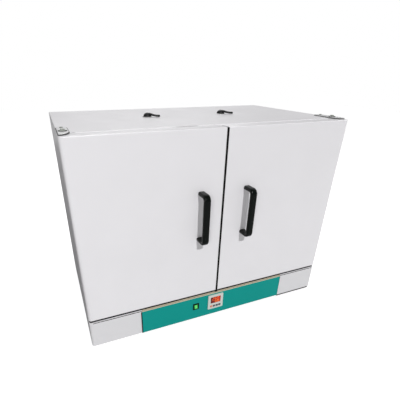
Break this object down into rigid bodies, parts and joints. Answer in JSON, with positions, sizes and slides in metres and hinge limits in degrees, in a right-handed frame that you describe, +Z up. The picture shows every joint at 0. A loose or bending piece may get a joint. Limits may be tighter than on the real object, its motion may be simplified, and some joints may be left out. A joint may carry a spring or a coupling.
{
  "type": "hot air drying oven",
  "caption": "Bench-top hot air drying oven with double doors, a fan-heated steel chamber with shelves, turning air vents and a control base.",
  "frame": {"origin": "on the floor under the middle of the whole oven's outline", "axes": "+Z up, the doors face -Y, +X towards the right door as seen from the front"},
  "size_m": [1.074, 0.7024, 0.8223],
  "materials": {
    "white_paint": "glossy powder coat",
    "teal_paint": "satin paint",
    "stainless": "brushed stainless sheet",
    "zinc": "zinc-plated steel",
    "wool": "matt mineral wool",
    "silicone": "matt silicone",
    "black_plastic": "semi-gloss moulded plastic",
    "rubber": "matt rubber",
    "grey_plastic": "fine-textured plastic",
    "dark_plastic": "fine-textured plastic",
    "red_window": "clear-fronted lit display",
    "green_lamp": "translucent plastic with a lamp behind it",
    "aluminium": "plain sheet and extrusion",
    "motor_grey": "painted motor body",
    "heater_steel": "heat-darkened steel sheath"
  },
  "bodies": {
    "cabinet": {"outer_shell": "white_paint", "back_panel": "white_paint", "front_frame": "stainless", "chamber_liner": "stainless", "cabinet_insulation": "wool", "base_housing": "white_paint", "base_floor": "aluminium", "control_panel": "teal_paint", "sill_trim": "stainless", "front_left_foot": "rubber", "front_right_foot": "rubber", "rear_left_foot": "rubber", "rear_right_foot": "rubber", "left_upper_hinge_plate": "white_paint", "left_upper_hinge_pin": "zinc", "left_hinge_bolt": "zinc", "left_hinge_screw": "zinc", "left_lower_hinge_plate": "white_paint", "left_lower_hinge_pin": "zinc", "left_vent_pipe": "stainless", "left_shelf_rack": "stainless", "right_upper_hinge_plate": "white_paint", "right_upper_hinge_pin": "zinc", "right_hinge_bolt": "zinc", "right_hinge_screw": "zinc", "right_lower_hinge_plate": "white_paint", "right_lower_hinge_pin": "zinc", "right_vent_pipe": "stainless", "right_shelf_rack": "stainless", "controller_case": "grey_plastic", "controller_window": "red_window", "switch_body": "black_plastic", "fan_motor": "motor_grey", "heater_element": "heater_steel", "air_baffle": "stainless", "temperature_probe": "stainless", "upper_shelf": "stainless", "lower_shelf": "stainless", "power_inlet": "black_plastic", "power_relay": "aluminium"},
    "left_door": {"left_door_skin": "white_paint", "left_door_liner": "stainless", "left_door_insulation": "wool", "left_door_seal": "silicone", "left_door_handle": "black_plastic"},
    "left_damper": {"left_vent_damper": "black_plastic"},
    "right_door": {"right_door_skin": "white_paint", "right_door_liner": "stainless", "right_door_insulation": "wool", "right_door_seal": "silicone", "right_door_handle": "black_plastic"},
    "right_damper": {"right_vent_damper": "black_plastic"},
    "fan": {"fan_impeller": "zinc", "fan_shaft": "zinc"},
    "rocker": {"switch_rocker": "green_lamp"},
    "key_1": {"controller_key_1": "dark_plastic"},
    "key_2": {"controller_key_2": "dark_plastic"},
    "key_3": {"controller_key_3": "dark_plastic"},
    "key_4": {"controller_key_4": "dark_plastic"}
  },
  "joints": [
    {"name": "left_door_hinge", "type": "hinge", "parent": "cabinet", "child": "left_door", "pos_m": [-0.522, -0.26315, 0.138], "axis": [0, 0, -1], "range_deg": [0, 130]},
    {"name": "right_door_hinge", "type": "hinge", "parent": "cabinet", "child": "right_door", "pos_m": [0.522, -0.26315, 0.138], "axis": [0, 0, 1], "range_deg": [0, 130]},
    {"name": "left_vent_turn", "type": "hinge", "parent": "cabinet", "child": "left_damper", "pos_m": [-0.178, 0.03885, 0.8083], "axis": [0, 0, 1], "range_deg": [0, 90]},
    {"name": "right_vent_turn", "type": "hinge", "parent": "cabinet", "child": "right_damper", "pos_m": [0.152, 0.03885, 0.8083], "axis": [0, 0, 1], "range_deg": [0, 90]},
    {"name": "fan_spin", "type": "hinge", "parent": "cabinet", "child": "fan", "pos_m": [0, 0.25785, 0.4613], "axis": [0, 1, 0], "continuous": true},
    {"name": "rocker_tilt", "type": "hinge", "parent": "cabinet", "child": "rocker", "pos_m": [-0.0955, -0.29215, 0.076], "axis": [1, 0, 0], "range_deg": [0, 16]},
    {"name": "key_1_press", "type": "slide", "parent": "cabinet", "child": "key_1", "axis": [0, 1, 0], "range_m": [0, 0.001], "stiffness_N_per_m": 800},
    {"name": "key_2_press", "type": "slide", "parent": "cabinet", "child": "key_2", "axis": [0, 1, 0], "range_m": [0, 0.001], "stiffness_N_per_m": 800},
    {"name": "key_3_press", "type": "slide", "parent": "cabinet", "child": "key_3", "axis": [0, 1, 0], "range_m": [0, 0.001], "stiffness_N_per_m": 800},
    {"name": "key_4_press", "type": "slide", "parent": "cabinet", "child": "key_4", "axis": [0, 1, 0], "range_m": [0, 0.001], "stiffness_N_per_m": 800}
  ]
}
